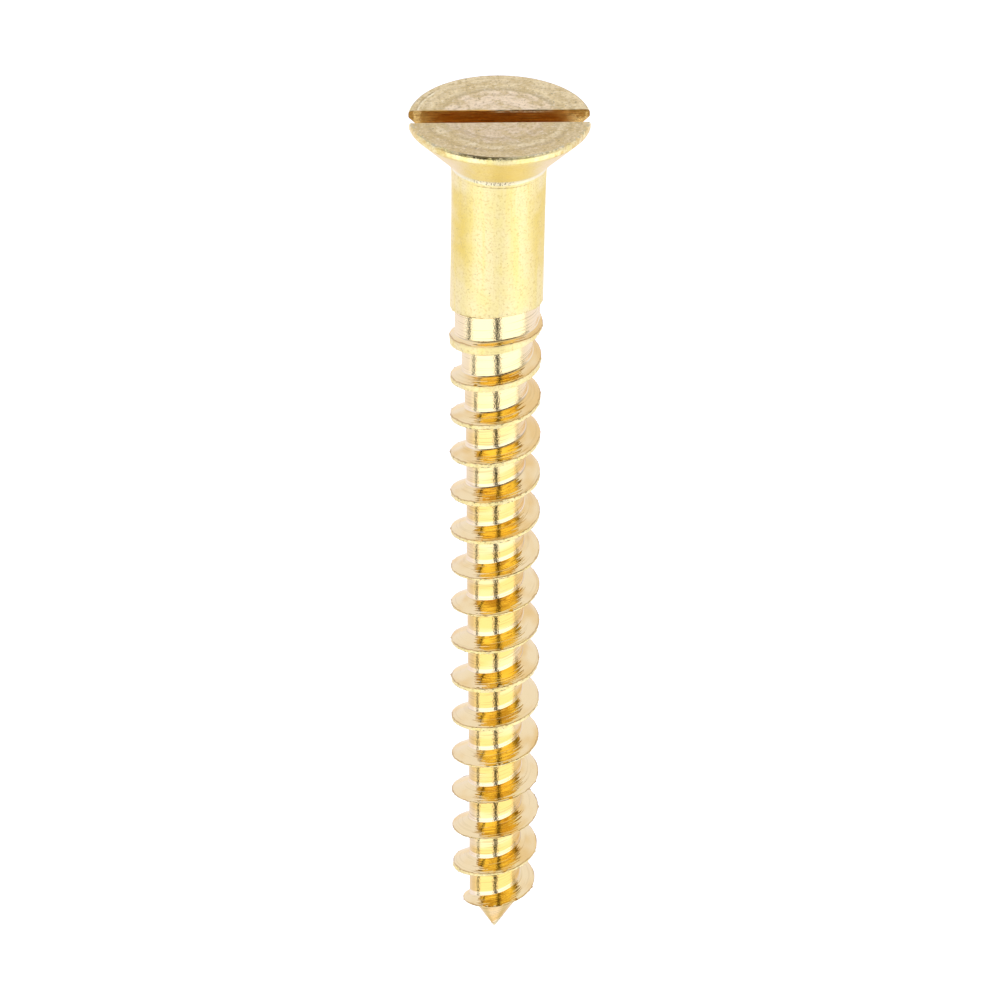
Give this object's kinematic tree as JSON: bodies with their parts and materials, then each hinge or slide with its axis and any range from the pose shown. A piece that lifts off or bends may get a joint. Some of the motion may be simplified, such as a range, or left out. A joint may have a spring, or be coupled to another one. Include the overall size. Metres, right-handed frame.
{
  "type": "wood screw",
  "caption": "Slotted flat countersunk brass wood screw with a plain shank, a coarse right-hand cut thread and a turned cone point.",
  "frame": {"origin": "middle of the flat head face, at the mouth of the driver slot", "axes": "+Z out of the head along the screw's axis, X along the driver slot, so the point is at -Z"},
  "size_m": [0.0078, 0.0078, 0.04],
  "materials": {
    "brass": "bare turned brass, satin on the shank and head, brighter in the cut thread"
  },
  "bodies": {
    "root": {"wood_screw": "brass"}
  },
  "joints": []
}
